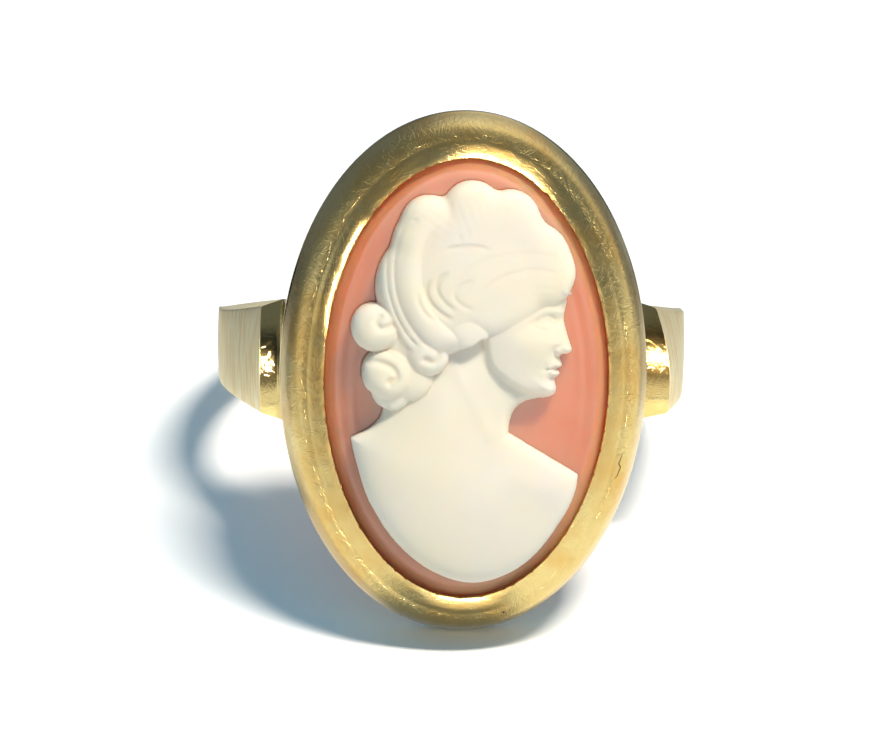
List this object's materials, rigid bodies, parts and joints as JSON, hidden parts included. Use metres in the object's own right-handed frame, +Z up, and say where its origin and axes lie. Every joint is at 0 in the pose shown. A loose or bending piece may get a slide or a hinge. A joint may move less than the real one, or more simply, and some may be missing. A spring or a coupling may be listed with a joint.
{
  "type": "cameo ring",
  "caption": "Oval cameo ring: a raised profile bust on a coral ground, held by a rubbed-over gold frame on a tapered band with stepped shoulders.",
  "frame": {"origin": "centre of the bounding box on the floor, under the ring as it rests on the back of its band and the tip of its frame", "axes": "+Z up, the cameo faces -Y and leans back, +X towards the wearer's side that the figure looks to"},
  "size_m": [0.0198, 0.0234, 0.0191],
  "materials": {
    "yellow_gold": "14 carat yellow gold, satin flange and band with fine scratches, polished lip and shoulder shelves",
    "coral_shell": "polished translucent coral-orange shell layer",
    "white_shell": "polished translucent white shell layer"
  },
  "bodies": {
    "root": {"gold_mount": "yellow_gold", "cameo_ground": "coral_shell", "cameo_bust": "white_shell"}
  },
  "joints": []
}
